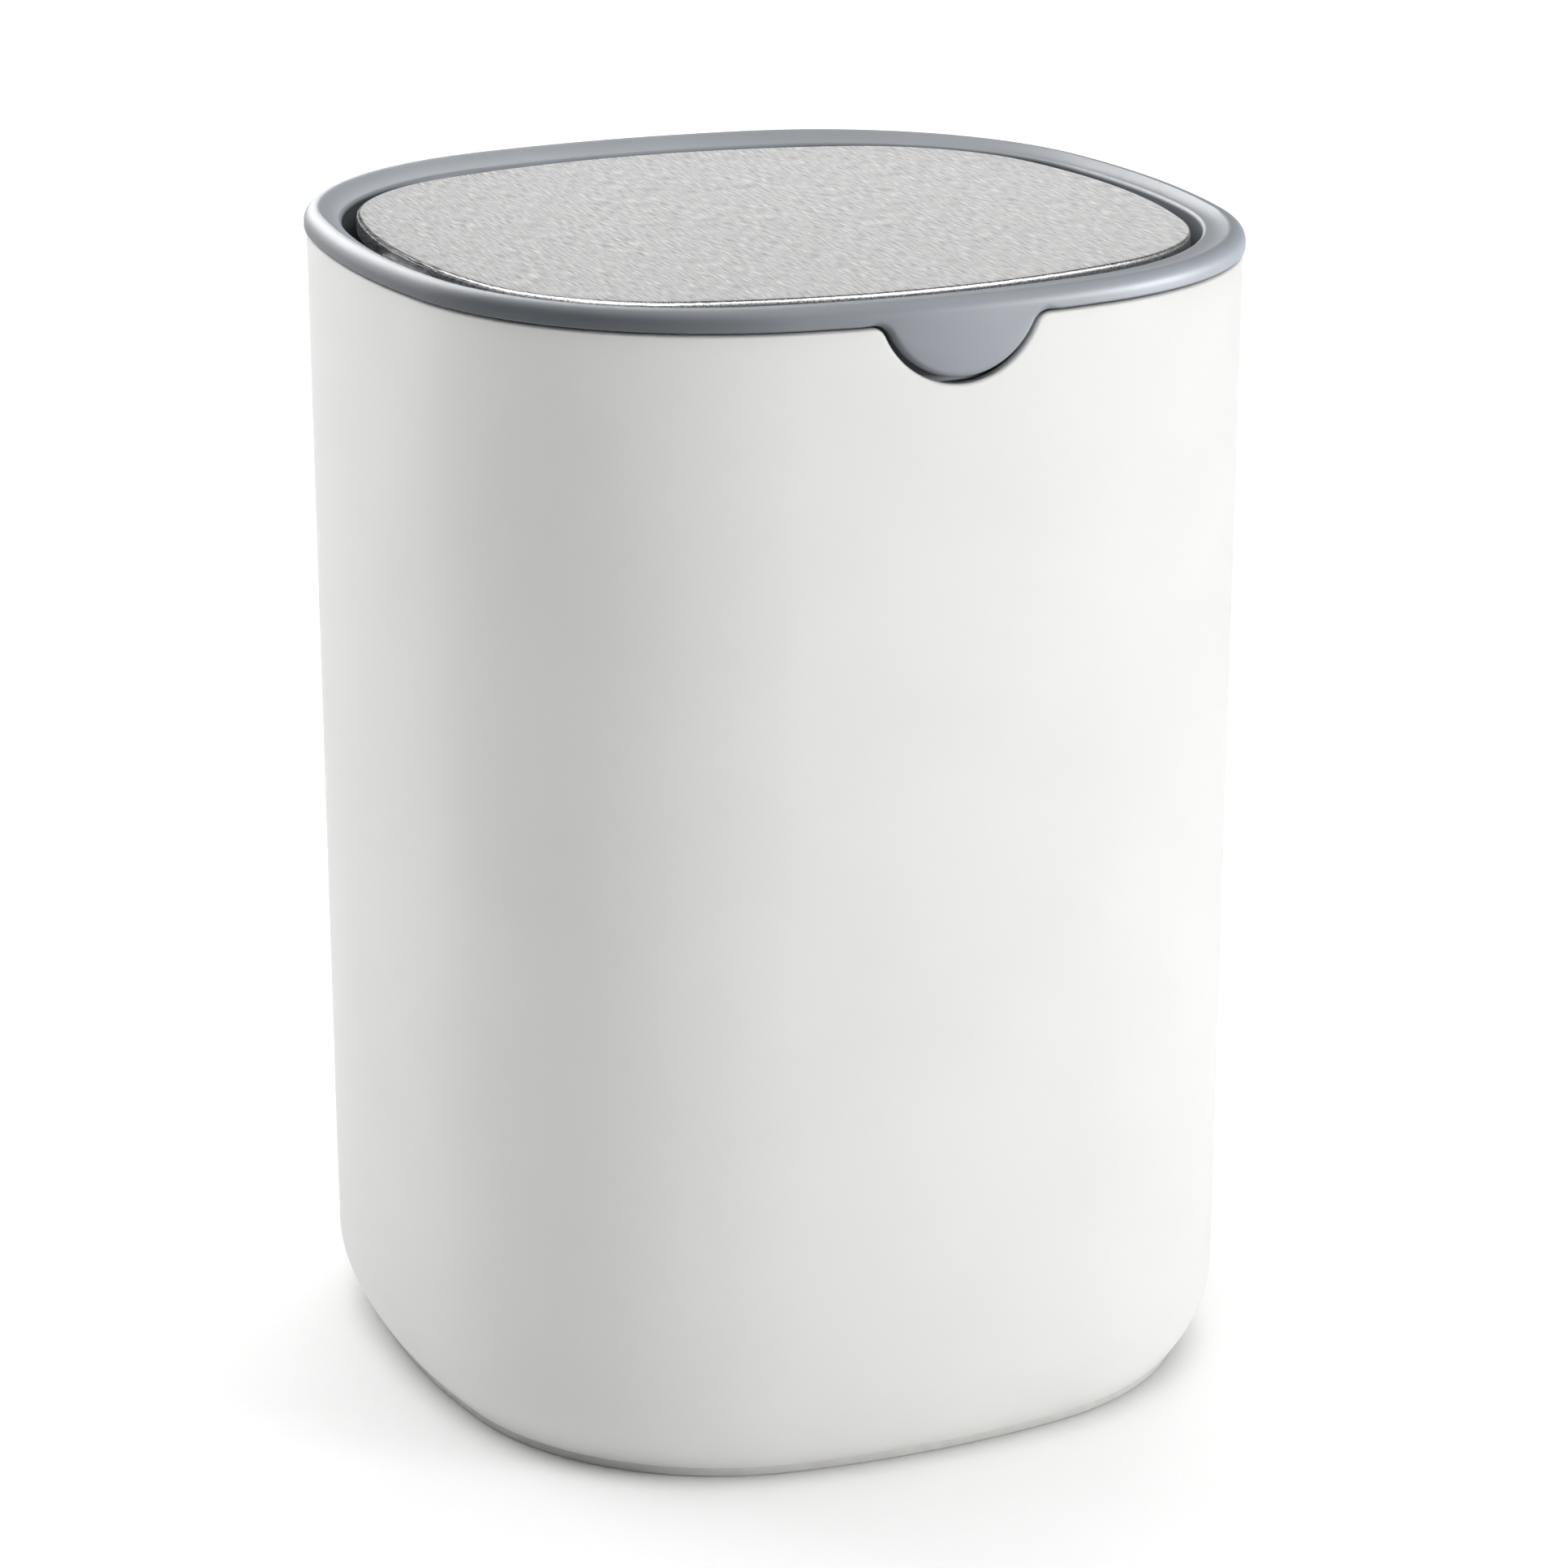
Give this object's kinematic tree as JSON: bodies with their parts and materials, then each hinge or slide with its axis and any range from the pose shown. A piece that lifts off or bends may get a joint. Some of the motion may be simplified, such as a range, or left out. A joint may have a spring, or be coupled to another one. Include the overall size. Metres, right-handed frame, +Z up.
{
  "type": "mini waste bin",
  "caption": "Small worktop waste bin: bowed-square white shell, grey lift-off lid ring with a pull tab, and a counter-weighted brushed-steel flap that swings both ways.",
  "frame": {"origin": "on the floor, under the middle of the bin", "axes": "+Z up, -Y towards the pull tab at the front, +X to the right as seen from the front"},
  "size_m": [0.1502, 0.1502, 0.2],
  "materials": {
    "body_plastic": "white moulded plastic, fine matte grain",
    "foot_elastomer": "white non-slip elastomer, matte",
    "ring_plastic": "blue-grey moulded plastic, satin",
    "cover_steel": "stainless steel, brushed in one direction",
    "inner_plastic": "dark moulded plastic, matte",
    "bush_plastic": "natural acetal, smooth",
    "weight_steel": "zinc-plated drawn steel bar",
    "fastener_steel": "bright steel",
    "tape_foam": "grey foam tape"
  },
  "bodies": {
    "bin": {"outer_body": "body_plastic", "foot_ring": "foot_elastomer"},
    "lid": {"lid_ring": "ring_plastic", "pivot_keeper_left": "inner_plastic", "pivot_keeper_right": "inner_plastic", "pivot_bush_left": "bush_plastic", "pivot_bush_right": "bush_plastic", "keeper_screws": "fastener_steel"},
    "flap": {"flap_cover": "cover_steel", "adhesive_strips": "tape_foam", "flap_carrier": "inner_plastic", "pivot_pin_left": "fastener_steel", "pivot_pin_right": "fastener_steel", "counterweight": "weight_steel", "counterweight_screws": "fastener_steel"}
  },
  "joints": [
    {"name": "lid_lift", "type": "slide", "parent": "bin", "child": "lid", "axis": [0, 0, 1], "range_m": [0, 0.08]},
    {"name": "flap_swing", "type": "hinge", "parent": "lid", "child": "flap", "pos_m": [0, 0, 0.191], "axis": [1, 0, 0], "range_deg": [-80, 80]}
  ]
}
